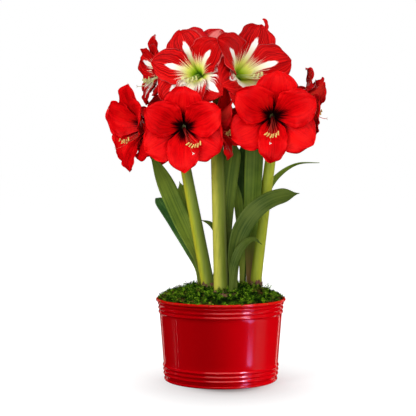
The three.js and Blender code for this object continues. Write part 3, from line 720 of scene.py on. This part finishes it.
def build_pot(material):
    seam_end = SEAM_TURN + SEAM_WIDTH
    steps = [SEAM_TURN - 0.12, SEAM_TURN + 0.12, seam_end - 0.5, seam_end]
    degrees = np.sort(np.concatenate([np.linspace(-180, 180, POT_COLUMNS, endpoint=False), steps]))
    raised = smoothstep(degrees, SEAM_TURN - 0.1, SEAM_TURN + 0.1)
    raised = raised * (1 - smoothstep(degrees, seam_end - 0.5, seam_end))
    radius, height = pot_profile().T
    on_wall = (height > 5) & (height < 158) & (radius > wall_radius(height) - 0.3)
    lapped = radius[:, None] + SEAM_HEIGHT * np.outer(on_wall, raised)
    shape = Shape()
    shape.grid(turned(lapped, height[:, None], np.radians(degrees - 90)), wrap=True)
    return shape.build("pot_rolled_tub", [material], ["pot"])


def build_bulb(name, material):
    x, y, top = BULBS[name]
    radius, height = profile_rings(BULB_PROFILE, 46)
    turns = full_turn(72)
    ribs = 0.35 * np.cos(24 * turns) - 0.45
    rings = turned(radius + ribs * (radius > 5), height + top - BULB_HEIGHT, turns, (x, y))
    shape = Shape()
    shape.grid(rings, wrap=True)
    add_collar(shape, name)
    return shape.build(f"bulb_{name}_tunic", [material], [f"bulb_{name}"])


def add_collar(shape, name):
    """Two torn rings of dry skin that stand round the foot of the scape."""
    scape, top = SCAPES[name], BULBS[name][2]
    turns = full_turn(60)
    ragged = 1 + 0.3 * np.sin(5 * turns + scape.foot[0]) + 0.2 * np.sin(13 * turns + scape.foot[1])
    torn = scape.collar * ragged
    rise = np.concatenate([np.linspace(0, 1, 5), np.linspace(1, 0, 5)])[:, None]
    face = np.repeat([0.5, -0.5], 5)[:, None] * COLLAR_THICKNESS
    for gap, share in ((1.4, 1), (3, 0.6)):
        radius = scape.radii[0] + gap + 0.8 * rise * np.sin(7 * turns) + face
        height = top - COLLAR_SINK + (COLLAR_SINK + share * torn) * rise
        shape.grid(turned(radius, height, turns, scape.foot), wrap=True)


# ---- moss

def moss_height(x, y):
    edge = wall_radius(MIX_TOP) - POT_WALL
    inward = np.maximum(0, 1 - (x * x + y * y) / (edge * edge))
    broad = np.sin(0.17 * x + 1) * np.sin(0.15 * y + 0.4)
    cushions = broad + 0.6 * np.sin(0.29 * x - 0.23 * y + 2)
    return MOSS_EDGE_TOP + MOSS_RISE * inward ** 0.8 + MOSS_BUMP * cushions * np.minimum(1, 4 * inward)


def over_neck(x, y):
    """The top of the bulb neck under a point, or None."""
    for *centre, top in BULBS.values():
        if dist((x, y), centre) < BULB_NECK_RADIUS:
            return top
    return None


def is_taken(x, y):
    """True where a scape or leaf stands."""
    for scape in SCAPES.values():
        if dist((x, y), scape.foot) < scape.radii[0] + scape.clearance:
            return True
    return any(
        abs(x - leaf.midrib[0][0]) < 0.25 * leaf.width and abs(y - leaf.midrib[0][1]) < LEAF_CLEARANCE
        for leaf in LEAVES.values())


def add_sprig(shape, root, heading, tilt, length, tone, draw):
    """One mossy shoot: a tapering ribbon with pairs of leaflets, curved towards its heading."""
    out = np.array([cos(heading), sin(heading), 0])
    side = np.array([-out[1], out[0], 0])
    up = np.array([0, 0, 1])
    share = np.linspace(0, 1, SPRIG_STEPS + 1)
    lean = tilt * (0.4 + 1.2 * share)
    stations = root + length * share[:, None] * (np.outer(np.cos(lean), up) + np.outer(np.sin(lean), out))
    base = len(shape.points)
    for point, along in zip(stations, share):
        half = SPRIG_HALF_WIDTH * (1 - 0.8 * along)
        shape.points += [point - half * side, point + half * side]
    for step in range(SPRIG_STEPS):
        corner = base + 2 * step
        low, high = (tone, share[step]), (tone, share[step + 1])
        shape.face([corner, corner + 1, corner + 3, corner + 2], [low, low, high, high])
    for point, along in zip(stations[1:], share[1:]):
        reach = LEAFLET_LENGTH * (1.1 - 0.4 * along)
        for way in (-1, 1):
            tip = point + way * reach * side + 0.5 * reach * up + draw.uniform(-0.4, 0.4) * reach * out
            start = len(shape.points)
            shape.points += [point - 0.5 * up, point + 0.5 * up, tip]
            shape.face([start, start + 1, start + 2], [(tone, along - 0.2), (tone, along), (tone, 1)])


def add_tuft(shape, x, y, ground, draw):
    """A cluster of shoots that spread from one root, all of one tone."""
    tone = draw.random()
    size = draw.uniform(0.6, 1.25) * (1.9 if draw.random() < 0.08 else 1)
    for _ in range(SPRIGS_PER_TUFT):
        root = np.array([x + draw.gauss(0, 1.3), y + draw.gauss(0, 1.3), ground])
        length = SPRIG_LENGTH * size * draw.uniform(0.7, 1.2)
        add_sprig(shape, root, draw.uniform(0, tau), draw.uniform(0.1, 1), length, tone, draw)


def add_rim_tuft(shape, edge, draw):
    """A few shoots beside the wall that lean out over the rim."""
    turn, tone = draw.uniform(0, tau), draw.random()
    for _ in range(4):
        place = turn + draw.gauss(0, 0.015)
        root = np.array([(edge - 2) * cos(place), (edge - 2) * sin(place), MOSS_EDGE_TOP - 2])
        heading = place + draw.gauss(0, 0.6)
        add_sprig(shape, root, heading, draw.uniform(0.2, 0.9), draw.uniform(7, 12), tone, draw)


def build_moss(mound_material, sprig_material):
    edge = wall_radius(MIX_TOP) - POT_WALL - SEAT
    turns = full_turn(150)
    radii = np.linspace(0.5, edge, 50)
    x, y = np.outer(radii, np.cos(turns)), np.outer(radii, np.sin(turns))
    rough = 0.5 * np.sin(0.9 * x + 0.3 * y) * np.sin(0.8 * y - 0.4 * x)
    shape = Shape()
    shape.grid(np.dstack([x, y, moss_height(x, y) - 1.2 + rough]), wrap=True)
    shape.faces = [
        face for face in shape.faces
        if over_neck(*np.mean([shape.points[corner][:2] for corner in face[0]], axis=0)) is None]
    shape.build("moss_mound", [mound_material], ["moss"])

    draw = random.Random(11)
    sprigs = Shape()
    tufts = 0
    while tufts < TUFT_COUNT:
        radius, turn = edge * sqrt(draw.random()), draw.uniform(0, tau)
        x, y = radius * cos(turn), radius * sin(turn)
        if is_taken(x, y):
            continue
        neck = over_neck(x, y)
        cover = float(moss_height(x, y)) - 1.4
        add_tuft(sprigs, x, y, cover if neck is None or cover > neck else neck, draw)
        tufts += 1
    for _ in range(RIM_TUFT_COUNT):
        add_rim_tuft(sprigs, edge, draw)
    sprigs.build("moss_sprigs", [sprig_material], ["moss"])


# ---- scapes and leaves

def facing(azimuth, elevation):
    azimuth, elevation = radians(azimuth), radians(elevation)
    level = cos(elevation)
    return np.array([sin(azimuth) * level, -cos(azimuth) * level, sin(elevation)])


def tube_foot(bloom):
    depth = THROAT_DEPTH * bloom.size
    return np.array(bloom.throat, float) - depth * facing(bloom.azimuth, bloom.elevation)


def add_pedicel(shape, core, bloom):
    axis = facing(bloom.azimuth, bloom.elevation)
    end = tube_foot(bloom) - SEAT * axis
    reach = np.linalg.norm(end - core)
    controls = (core, core + (0, 0, 0.3 * reach), end - 0.5 * reach * axis, end)
    ovary = np.sin(pi * 0.78 * smoothstep(np.linspace(0, 1, 34), 0.62, 1))
    radii = lerp(PEDICEL_RADIUS, OVARY_RADIUS, ovary)
    add_tube(shape, bezier(controls, 34), radii, 24, lobes=3, lobe_depth=0.06)


def build_scape(name, material):
    scape = SCAPES[name]
    top = np.array(scape.umbel, float)
    bottom = np.array([*scape.foot, BULBS[name][2] + SEAT], float)
    lean = (top - bottom) / 3
    start = bottom + lean * (scape.bow, scape.bow, 1)
    curve = bezier((bottom, start, top - lean, top), 48)
    radii = np.linspace(*scape.radii, 48)
    radii[-3:] *= [0.98, 0.9, 0.72]
    shape = Shape()
    add_tube(shape, curve, radii, 40, flatness=SCAPE_FLATNESS, lobes=2, lobe_depth=0.015)
    for bloom in BLOOMS.values():
        if bloom.scape == name:
            add_pedicel(shape, top - (0, 0, PEDICEL_SINK), bloom)
    return shape.build(f"scape_{name}_stem", [material], [f"scape_{name}"])


def leaf_half_share(along, foot, full, narrowing):
    spread = lerp(foot, 1, smoothstep(along, 0, full))
    return 0.5 * spread * (1 - 0.9 * smoothstep(along, narrowing, 1) ** 2)


def build_leaf(name, material):
    leaf = LEAVES[name]
    foot = np.add(leaf.midrib[0], (0, 0, SEAT))
    along, across = net(56, 11)
    place, tangent = catmull([foot, *leaf.midrib[1:]], len(along))
    face = lerp(*map(unit, leaf.faces), along)
    side = unit(np.cross(face, tangent))
    normal = unit(np.cross(tangent, side))
    half = leaf.width * leaf_half_share(along, *leaf.shares) * np.sqrt(1 - 0.95 * along ** 24)
    channel = 0.28 * half * across ** 2 * (1 - 0.5 * along)
    phase = leaf.width + foot[0]
    ripple = 0.5 * across * np.sin(9 * along + phase) + 0.35 * across ** 2 * np.sin(21 * along + 2 * phase)
    rise = channel + ripple * smoothstep(along, 0.1, 0.4)
    shape = Shape()
    shape.blade(swept(place, side, half * across, normal, rise), LEAF_THICKNESS)
    return shape.build(f"leaf_{name}_blade", [material], [f"leaf_{name}"])


# ---- blooms

FRONT, BACK, TUBE, LOW_FRONT = range(4)  # places of a bloom's materials


def tepal_spine(length, root_radius, tip_angle, curl):
    share = np.linspace(0, 1, 97)
    angle = np.radians(lerp(TEPAL_ROOT_ANGLE, tip_angle, share ** 1.3) + curl * smoothstep(share, 0.82, 1))
    step = length / 96
    middle = 0.5 * (angle[1:] + angle[:-1])
    radius = root_radius + summed(step * np.sin(middle))
    height = TEPAL_ROOT_HEIGHT + summed(step * np.cos(middle))
    return share, radius, height, angle


def tepal_half_width(width, along):
    belly = np.sin(pi * np.minimum(along, 1) ** 1.5) ** TEPAL_ROUNDNESS
    half = 0.5 * width * (0.1 * (1 - along) + belly) + TEPAL_TIP_HALF_WIDTH * along ** 3
    return half * np.sqrt(np.maximum(1 - along ** 14, 0)) + 0.25


def add_tepal(shape, turn, is_outer, width, size, bend, draw, front):
    tip_angle = (OUTER_TIP_ANGLE if is_outer else INNER_TIP_ANGLE) + bend
    root = OUTER_ROOT_RADIUS if is_outer else INNER_ROOT_RADIUS
    curl = draw.uniform(0.2, 1) * TIP_CURL
    share, radii, heights, angles = tepal_spine(TEPAL_LENGTH * size, root, tip_angle, curl)
    along, across = net(40, 25)
    along = 1 - (1 - along) ** 1.3
    radius, height, angle = (np.interp(along, share, values) for values in (radii, heights, angles))
    phase = draw.uniform(0, 6.3)
    side = np.sign(across)
    nicks = np.sin(37 * along + phase + 2 * side) + 0.8 * np.sin(61 * along + 2 * phase - side)
    nicks = nicks + 0.9 * np.sin(15 * along + 3 * phase + side)
    half = np.minimum(tepal_half_width(width * size, along), radians(WIDEST_WRAP) * radius)
    half = half * (1 + EDGE_NICK * nicks * smoothstep(along, 0.4, 0.7))
    wrap = across * half / radius
    flat = 0.75 * smoothstep(along, 0.7, 1)
    outward = lerp(radius * np.cos(wrap), radius, flat)
    sideways = lerp(radius * np.sin(wrap), across * half, flat)
    offset = (OUTER_TEPAL_OFFSET if is_outer else 0) * smoothstep(along, 0, 0.3)
    wave = TEPAL_WAVE * across ** 2 * smoothstep(along, 0.6, 0.9) * np.sin(9 * along + 3 * across + turn)
    ruffle = np.sin(24 * along + 6 * across + phase) + 0.7 * np.sin(41 * along - 5 * across + 2 * phase)
    ruffle = EDGE_RUFFLE * across ** 4 * smoothstep(along, 0.35, 0.75) * ruffle
    folds = np.sin(5 * across + 4 * along + phase) + 0.6 * np.sin(9 * across - 5 * along + 2 * phase)
    creases = np.sin(17 * across + 3 * np.sin(5 * along + phase)) * np.sin(7 * along + phase)
    folds = TEPAL_FOLD * folds + TEPAL_CREASE * creases
    folds = folds * smoothstep(along, 0.3, 0.6) * (1 - 0.5 * across ** 2)
    groove = MIDRIB_GROOVE * np.exp(-(across / 0.07) ** 2) * smoothstep(along, 0.15, 0.4) * (1 - 0.6 * along)
    lift = offset + wave + ruffle + folds + groove
    outward, height = outward + lift * np.cos(angle), height - lift * np.sin(angle)
    cosine, sine = cos(turn), sin(turn)
    points = np.dstack([cosine * sideways + sine * outward, cosine * outward - sine * sideways, height])
    shape.blade(points, TEPAL_THICKNESS, front, BACK)


def bloom_place(bloom):
    azimuth = radians(bloom.azimuth)
    axis = Vector(facing(bloom.azimuth, bloom.elevation))
    right = Vector((cos(azimuth), sin(azimuth), 0))
    turn = Matrix((right, axis.cross(right), axis)).transposed().to_4x4()
    return Matrix.Translation(Vector(tube_foot(bloom)) * MM) @ turn


def add_rolled_tip(shape, bloom, spine):
    """The narrow end of a petal, rolled up past its edge."""
    along, across = net(26, 9)
    place, tangent = catmull(spine, len(along))
    side = unit(np.cross(tangent, (0.25, -1, 0)))
    half = ROLLED_TIP_HALF_WIDTH * (1 - 0.2 * along) * np.sqrt(1 - 0.95 * along ** 8)
    half = half * (1 + 0.12 * np.sin(19 * along))
    points = swept(place, side, half * across, unit(np.cross(side, tangent)), 0.5 * half * across ** 2)
    to_bloom = np.array(bloom_place(bloom).inverted())
    first = len(shape.faces)
    shape.blade(points @ to_bloom[:3, :3].T + to_bloom[:3, 3] / MM, TEPAL_THICKNESS)
    shape.faces[first:] = [
        (corners, [(u, 0.8 + 0.2 * v) for u, v in uvs], mark) for corners, uvs, mark in shape.faces[first:]]


def build_bloom(name, materials):
    """Six tepals and their tube; the materials are those of FRONT, BACK, TUBE and LOW_FRONT."""
    bloom = BLOOMS[name]
    draw = random.Random(name)
    shape = Shape()
    for index in range(6):
        is_outer = index % 2 == 0
        width = OUTER_TEPAL_WIDTH if is_outer else INNER_TEPAL_WIDTH
        if index == 3:
            width = bloom.lowest
        turn = radians(60 * index + bloom.roll + bloom.shifts[index])
        front = LOW_FRONT if index in (2, 3) else FRONT
        add_tepal(shape, turn, is_outer, width, bloom.size, bloom.bend[index], draw, front)
    if name in ROLLED_TIPS:
        add_rolled_tip(shape, bloom, ROLLED_TIPS[name])
    radius, height = profile_rings(np.array(TUBE_PROFILE) * bloom.size, 25)
    turns = full_turn(36)
    shape.grid(turned(radius * (1 + 0.05 * np.cos(6 * turns)), height, turns), TUBE, wrap=True)
    return shape.build(f"bloom_{name}_petals", materials, [f"bloom_{name}"], bloom_place(bloom))


def add_thread(shape, start, end, mark):
    reach = end[2] - start[2]
    rise = (2 * start[0], 2 * start[1], start[2] + 0.3 * reach)
    drop = (0.8 * end[0], end[1] - 3, start[2] + 0.75 * reach)
    curve = bezier((start, rise, drop, end), 20)
    add_tube(shape, curve, np.linspace(1.15, 0.8, 20) * FILAMENT_RADIUS, 8, mark)


def add_anther(shape, centre, turn):
    """A curved grain of pollen lying across the end of its filament."""
    share = np.linspace(-1, 1, 13)
    reach = 0.5 * ANTHER_LENGTH * share
    bow = 1.4 * share ** 2
    offsets = np.stack([reach * cos(turn), reach * sin(turn) + bow, 0.4 * bow], axis=1)
    place = np.array(centre) + offsets
    radii = ANTHER_RADIUS * np.sqrt(np.maximum(1 - share ** 4, 0.03))
    add_tube(shape, (place, unit(np.gradient(place, axis=0))), radii, 10, 1)


def build_stamens(name, materials):
    """Six stamens and a three-lobed style; the materials are those of threads, pollen and stigma."""
    bloom = BLOOMS[name]
    size, (right, above) = bloom.size, bloom.lean
    foot = TUBE_LENGTH * size - 3 + SEAT
    shape = Shape()
    for index in range(6):
        turn = radians(60 * index + 30)
        fan = (index - 2.5) / 2.5
        reach = size * (FILAMENT_REACH - 7 * (index % 2))
        end = (right + 12 * fan, above + 5 * fan * fan, foot + reach)
        add_thread(shape, (2 * cos(turn), 2 * sin(turn), foot - 8), end, 0)
        add_anther(shape, end, 1.1 + 0.5 * fan)
    tip = (1.15 * right - 4, 1.15 * above - 6, foot + size * STYLE_REACH)
    add_thread(shape, (0, 0, foot - 8), tip, 0)
    for turn in full_turn(3):
        end = (tip[0] + 2.4 * cos(turn), tip[1] + 2.4 * sin(turn), tip[2] + 1.6)
        place, tangent = bezier((tip, tip, end, end), 6)
        curve = (place + np.linspace(0, 1e-3, 6)[:, None], tangent)
        add_tube(shape, curve, np.linspace(0.9, 0.7, 6), 8, 2)
    node = f"stamens_{name}"
    return shape.build(f"{node}_threads", materials, [node], bloom_place(bloom))


# ---- studio

def limit_light(lamp, piece, state):
    """Keeps a light off one piece, or on that piece alone."""
    group = bpy.data.collections.new(f"{lamp.name}_receivers")
    group.objects.link(piece)
    group.collection_objects[0].light_linking.link_state = state
    lamp.light_linking.receiver_collection = group


def add_light(name, place, target, size, level):
    """A softbox that gives the level, as a share of full white, on a surface that faces it at the target."""
    aim = Vector(target) - Vector(place)
    light = bpy.data.lights.new(name, "AREA")
    light.shape = "RECTANGLE"
    light.size, light.size_y = size
    light.energy = level * (pi * aim.length) ** 2
    lamp = new_object(name, light)
    lamp.location = place
    lamp.rotation_euler = aim.to_track_quat("-Z", "Y").to_euler()
    lamp.visible_camera = False
    return lamp


def build_lights(pot):
    for name, (place, target, size, level) in PLANT_LIGHTS.items():
        limit_light(add_light(name, place, target, size, level), pot, "EXCLUDE")
    for name, (place, size, level, *gloss) in POT_LIGHTS.items():
        lamp = add_light(name, place, POT_MIDDLE, size, level)
        lamp.data.color = gloss[0] if gloss else (1, 1, 1)
        lamp.visible_diffuse, lamp.visible_glossy = not gloss, bool(gloss)
        limit_light(lamp, pot, "INCLUDE")


def build_world():
    """Plain white behind the plant, which lights nothing: the softboxes do that."""
    world = bpy.data.worlds.new("studio_world")
    bpy.context.scene.world = world
    world.use_nodes = True
    world.node_tree.nodes["Background"].inputs["Color"].default_value = (1, 1, 1, 1)
    world.cycles_visibility.diffuse = False
    world.cycles_visibility.glossy = False


def floor_material():
    """White paper that glows more with its distance from the pot: a painted shadow round the pot, which
    fades out.
    """
    finish = {"Roughness": 1, "Specular IOR Level": 0, "Emission Color": (1, 1, 1)}
    graph = Graph("studio_floor_paper", finish)
    # painted shadow: the glow is lowest round a point a little right of and in front of the pot's middle
    centred = graph.scaled(graph.shifted(graph.place, (-0.012, 0.06, 0)), (1.15, 1, 1))
    distance = graph.node("VectorMath", centred, operation="LENGTH").outputs["Value"]
    glow = graph.ramp(distance, *((place, (level,) * 3) for place, level in PAINTED_SHADOW_GLOW))
    graph.feed(graph.shader.inputs["Emission Strength"], glow)
    return graph.finish(graph.mix(graph.noise(3), (0.34,) * 3, (0.36,) * 3))


def build_floor():
    """A floor that takes shadows and is left out of the pot's reflections."""
    mesh = bpy.data.meshes.new("studio_floor")
    corners = [(x * FLOOR_REACH, y * FLOOR_REACH, 0) for x, y in ((-1, -1), (1, -1), (1, 1), (-1, 1))]
    mesh.from_pydata(corners, [], [(0, 1, 2, 3)])
    mesh.materials.append(floor_material())
    floor = new_object("studio_floor", mesh)
    floor.visible_diffuse = floor.visible_glossy = floor.visible_shadow = False


def build_camera():
    lens = bpy.data.cameras.new("studio_camera")
    lens.lens = CAMERA_LENS
    lens.sensor_width = 36
    camera = new_object("studio_camera", lens)
    camera.location = CAMERA_PLACE
    camera.rotation_euler = (radians(90 - CAMERA_DIP), 0, 0)
    bpy.context.scene.camera = camera


# ---- the whole plant

def flower_materials():
    """Materials of the petals and of the stamens, for the red blooms and for the striped ones."""
    red, red_back = red_petal_material(), petal_back_material("petal_red_back")
    striped, low = (striped_petal_material(name) for name in STAR_REACHES)
    striped_back = petal_back_material("petal_striped_back")
    tube, pale_tube, thread, pale_thread, stigma = (thread_material(name) for name in THREADS)
    pollen, pale_pollen = grain_material("anther_pollen"), grain_material("anther_pollen_pale")
    return {
        "red": ([red, red_back, tube, red], [thread, pollen, stigma]),
        "striped": ([striped, striped_back, pale_tube, low], [pale_thread, pale_pollen, stigma]),
    }


def build_plant():
    pot = build_pot(pot_material())
    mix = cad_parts["potting_mix"].data
    mix.materials.clear()
    mix.materials.append(grain_material("potting_mix_crumb"))

    tunic = tunic_material()
    for name in BULBS:
        build_bulb(name, tunic)
        build_scape(name, scape_material(f"scape_{name}_skin", SCAPE_SHADING_STOPS[name]))
    build_moss(grain_material("moss_mound_felt"), moss_sprig_material())

    greens = {kind: leaf_material(f"leaf_{kind}", *colors) for kind, colors in LEAF_COLORS.items()}
    for name in LEAVES:
        build_leaf(name, greens[LEAVES[name].kind])

    materials = flower_materials()
    for name, bloom in BLOOMS.items():
        petals, threads = materials["striped" if bloom.scape == "middle" else "red"]
        build_bloom(name, petals)
        build_stamens(name, threads)
    return pot


def build_studio(pot):
    bpy.context.scene.view_settings.view_transform = "Standard"
    build_world()
    build_floor()
    build_lights(pot)
    build_camera()


build_studio(build_plant())
